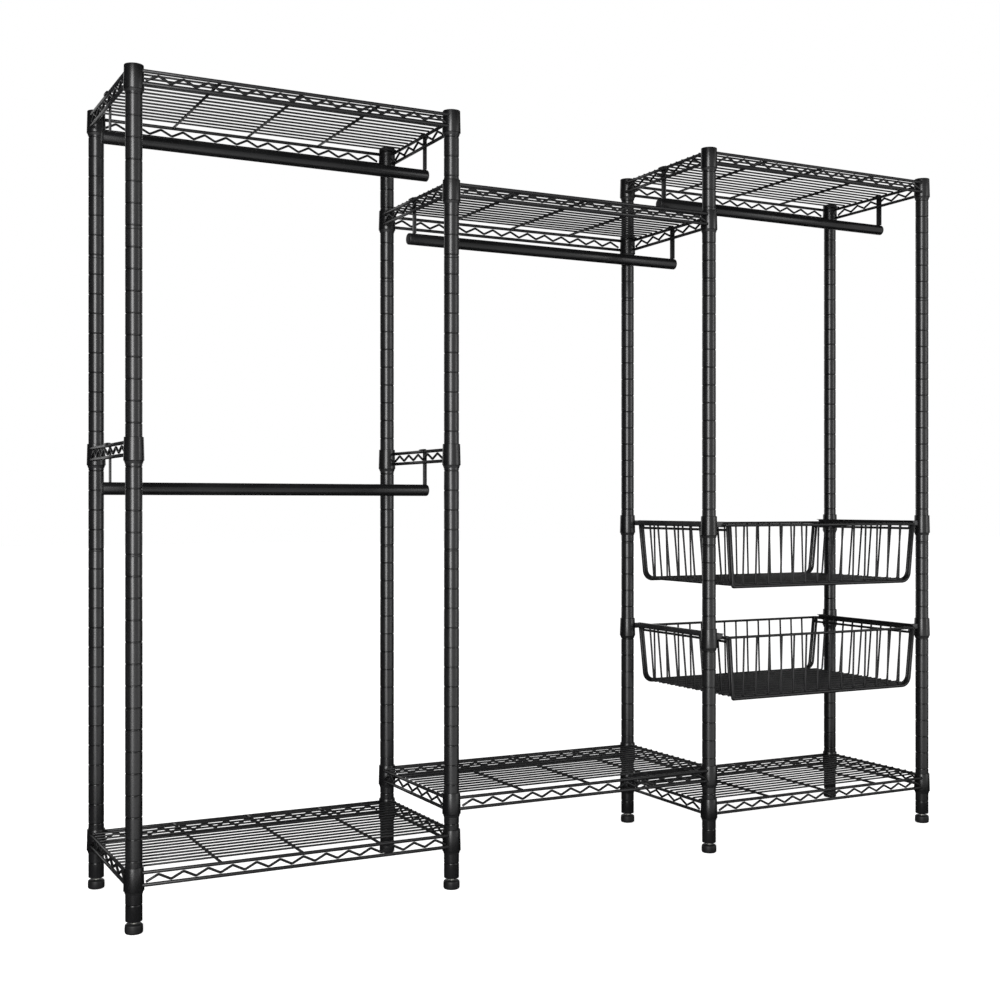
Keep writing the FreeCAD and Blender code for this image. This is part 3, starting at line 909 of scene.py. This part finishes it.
WORLD_DIFFUSE = 0.45
WORLD_SEEN = 1.0
FLOOR_HALF = 30
FLOOR_DROP = 0.0005
FLOOR_GLOW = 0.72
KEY_PLACE = (-3.3, -3.95, 1.9)
KEY_AIM = (-0.1, 0.0, 1.5)
KEY_SIZE = (1.85, 3.7)
KEY_POWER = 365.0
FILL_PLACE = (3.4, -3.4, 1.5)
FILL_AIM = (0.0, 0.0, 1.2)
FILL_SIZE = (0.9, 2.6)
FILL_POWER = 44.0
FLAG_HEIGHT = 6
FLAG_LEFT = -5.0
FLAG_LEFT_FRONT = -2.4
FLAG_BACK = 8.0
FLAG_BACK_END = -3.7
FLAG_RIGHT = 7.0
FLAG_RIGHT_FRONT = -0.8
FLAG_RIGHT_BACK = 4.5
LOW_FLAG_RIGHT = -1.4
LOW_FLAG_FRONT = -0.6
LOW_FLAG_BACK = 6.0
HIGH_FLAG_Z = 5.0
HIGH_FLAG_LEFT = -6.0
HIGH_FLAG_FRONT = -7.0
FLOOR_FLAG_FRONT = -0.9

# Camera, fitted to the photo's perspective
CAMERA_PLACE = (-1.8941, -3.357, 0.9622)
CAMERA_TURN = -27.483
CAMERA_LENS = 50.0
CAMERA_SENSOR = 36.0
CAMERA_SHIFT_X = -0.0006
CAMERA_SHIFT_Y = 0.0049


def ray_seen(nodes, links):
    """1 for rays from the camera, in reflections and through glass, else 0."""
    path = nodes.new("ShaderNodeLightPath")
    total = path.outputs["Is Camera Ray"]
    for name in ("Is Glossy Ray", "Is Transmission Ray"):
        node = nodes.new("ShaderNodeMath")
        node.operation = "MAXIMUM"
        links.new(total, node.inputs[0])
        links.new(path.outputs[name], node.inputs[1])
        total = node.outputs[0]
    return total


def build_world():
    world = bpy.data.worlds.new("studio")
    bpy.context.scene.world = world
    world.use_nodes = True
    nodes, links = world.node_tree.nodes, world.node_tree.links
    background = nodes["Background"]
    background.inputs["Color"].default_value = (1, 1, 1, 1)
    seen = ray_seen(nodes, links)
    level = nodes.new("ShaderNodeMapRange")
    level.inputs["To Min"].default_value = WORLD_DIFFUSE
    level.inputs["To Max"].default_value = WORLD_SEEN
    links.new(seen, level.inputs["Value"])
    links.new(level.outputs["Result"], background.inputs["Strength"])


def studio_sheet(name, points, material):
    mesh = bpy.data.meshes.new(name)
    mesh.from_pydata(points, [], [range(len(points))])
    mesh.materials.append(material)
    sheet = bpy.data.objects.new(name, mesh)
    bpy.context.scene.collection.objects.link(sheet)
    return sheet


def build_floor():
    material, nodes, links, shader = new_material("studio_floor")
    shader.inputs["Base Color"].default_value = (0.8, 0.8, 0.8, 1)
    shader.inputs["Roughness"].default_value = 0.9
    shader.inputs["Emission Color"].default_value = (1, 1, 1, 1)
    glow = nodes.new("ShaderNodeMath")
    glow.operation = "MULTIPLY"
    glow.inputs[1].default_value = FLOOR_GLOW
    links.new(ray_seen(nodes, links), glow.inputs[0])
    links.new(glow.outputs[0], shader.inputs["Emission Strength"])
    outline = level_sheet((-FLOOR_HALF, -FLOOR_HALF), (FLOOR_HALF, FLOOR_HALF), 0)
    floor = studio_sheet("studio_floor", outline, material)
    floor.location.z = -FLOOR_DROP


def build_lamp(name, place, aim, size, power):
    data = bpy.data.lights.new(name, "AREA")
    data.shape = "RECTANGLE"
    data.size, data.size_y = size
    data.energy = power
    lamp = bpy.data.objects.new(name, data)
    bpy.context.scene.collection.objects.link(lamp)
    lamp.location = place
    lamp.rotation_euler = (Vector(aim) - Vector(place)).to_track_quat("-Z", "Y").to_euler()


def level_sheet(low, high, z):
    return [(low[0], low[1], z), (high[0], low[1], z), (high[0], high[1], z), (low[0], high[1], z)]


def upright_sheet(start, end):
    return [(*start, 0), (*end, 0), (*end, FLAG_HEIGHT), (*start, FLAG_HEIGHT)]


def build_flags():
    """Black flags that darken the left edges, the tops and the undersides of what shines."""
    black, _, _, shader = new_material("studio_flag")
    shader.inputs["Base Color"].default_value = (0.01, 0.01, 0.01, 1)
    shader.inputs["Specular IOR Level"].default_value = 0.0
    front_left, back_left = (FLAG_LEFT, FLAG_LEFT_FRONT), (FLAG_LEFT, FLAG_BACK)
    back_end = (FLAG_BACK_END, FLAG_BACK)
    low_left = [front_left, (LOW_FLAG_RIGHT, LOW_FLAG_FRONT), (LOW_FLAG_RIGHT, LOW_FLAG_BACK),
                back_end, back_left]
    right = upright_sheet((FLAG_RIGHT, FLAG_RIGHT_FRONT), (FLAG_RIGHT, FLAG_RIGHT_BACK))
    above = level_sheet((HIGH_FLAG_LEFT, HIGH_FLAG_FRONT), (FLAG_RIGHT, FLAG_BACK), HIGH_FLAG_Z)
    below = level_sheet((FLAG_LEFT, FLOOR_FLAG_FRONT), (FLAG_RIGHT, FLAG_BACK), 0)
    flags = {"left": upright_sheet(front_left, back_left),
             "back_left": upright_sheet(back_left, back_end),
             "low_left": [(x, y, 0) for x, y in low_left],
             "right": right,
             "above": above,
             "below": below}
    for name, points in flags.items():
        flag = studio_sheet(f"studio_flag_{name}", points, black)
        flag.visible_camera = False
        flag.visible_diffuse = False
        flag.visible_shadow = False


def build_camera():
    data = bpy.data.cameras.new("camera")
    data.lens = CAMERA_LENS
    data.sensor_width = CAMERA_SENSOR
    data.shift_x = CAMERA_SHIFT_X
    data.shift_y = CAMERA_SHIFT_Y
    camera = bpy.data.objects.new("camera", data)
    bpy.context.scene.collection.objects.link(camera)
    camera.location = CAMERA_PLACE
    camera.rotation_euler = (math.radians(90), 0, math.radians(CAMERA_TURN))
    bpy.context.scene.camera = camera


build_posts()
build_post_ends()
build_feet()
for side, bay in (("left", 0), ("middle", 1), ("right", 2)):
    inner = side == "middle"
    build_shelf(f"shelf_{side}_top", bay, MIDDLE_TOP if inner else OUTER_TOP)
    build_shelf(f"shelf_{side}_bottom", bay, MIDDLE_BOTTOM if inner else OUTER_BOTTOM)
build_ledge("ledge_left_end", 0, -1)
build_ledge("ledge_left_inner", 1, 1)
build_rods()
for level in RIM_HEIGHTS:
    build_runner(level, "inner")
    build_runner(level, "end")
    build_basket(level)
build_world()
build_floor()
build_lamp("key", KEY_PLACE, KEY_AIM, KEY_SIZE, KEY_POWER)
build_lamp("fill", FILL_PLACE, FILL_AIM, FILL_SIZE, FILL_POWER)
build_flags()
build_camera()

scene = bpy.context.scene
scene.view_settings.view_transform = "Standard"
bpy.context.view_layer.update()
